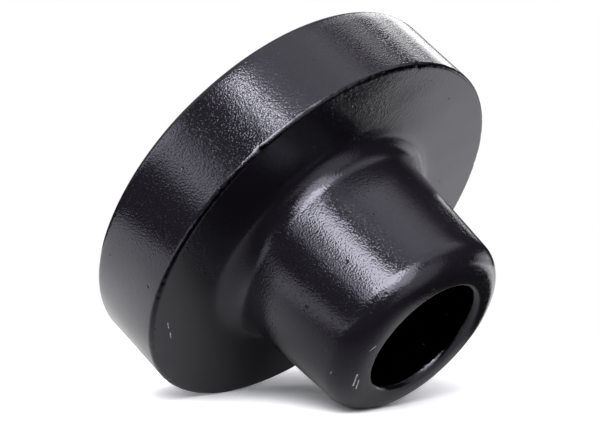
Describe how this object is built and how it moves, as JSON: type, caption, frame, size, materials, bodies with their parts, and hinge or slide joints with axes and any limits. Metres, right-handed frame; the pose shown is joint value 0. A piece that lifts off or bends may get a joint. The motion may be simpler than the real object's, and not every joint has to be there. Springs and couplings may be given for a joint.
{
  "type": "neck flange",
  "caption": "Undrilled neck flange: a thick plain disc with a tapered, round-nosed neck and a through bore, coated black all over, to be clamped at the disc and joined to a pipe at the nose.",
  "frame": {"origin": "centre of the disc's flat back face, on the bore axis", "axes": "+Z along the bore axis, from the back face towards the nose; X and Y are any two directions across it, because the part is round"},
  "size_m": [0.1, 0.1, 0.0585],
  "materials": {
    "forged_steel": "forged and shot-blasted, under the coating",
    "black_coating": "semi-gloss black polymer coating with an orange-peel grain"
  },
  "bodies": {
    "root": {"steel_forging": "forged_steel", "black_coating": "black_coating"}
  },
  "joints": []
}
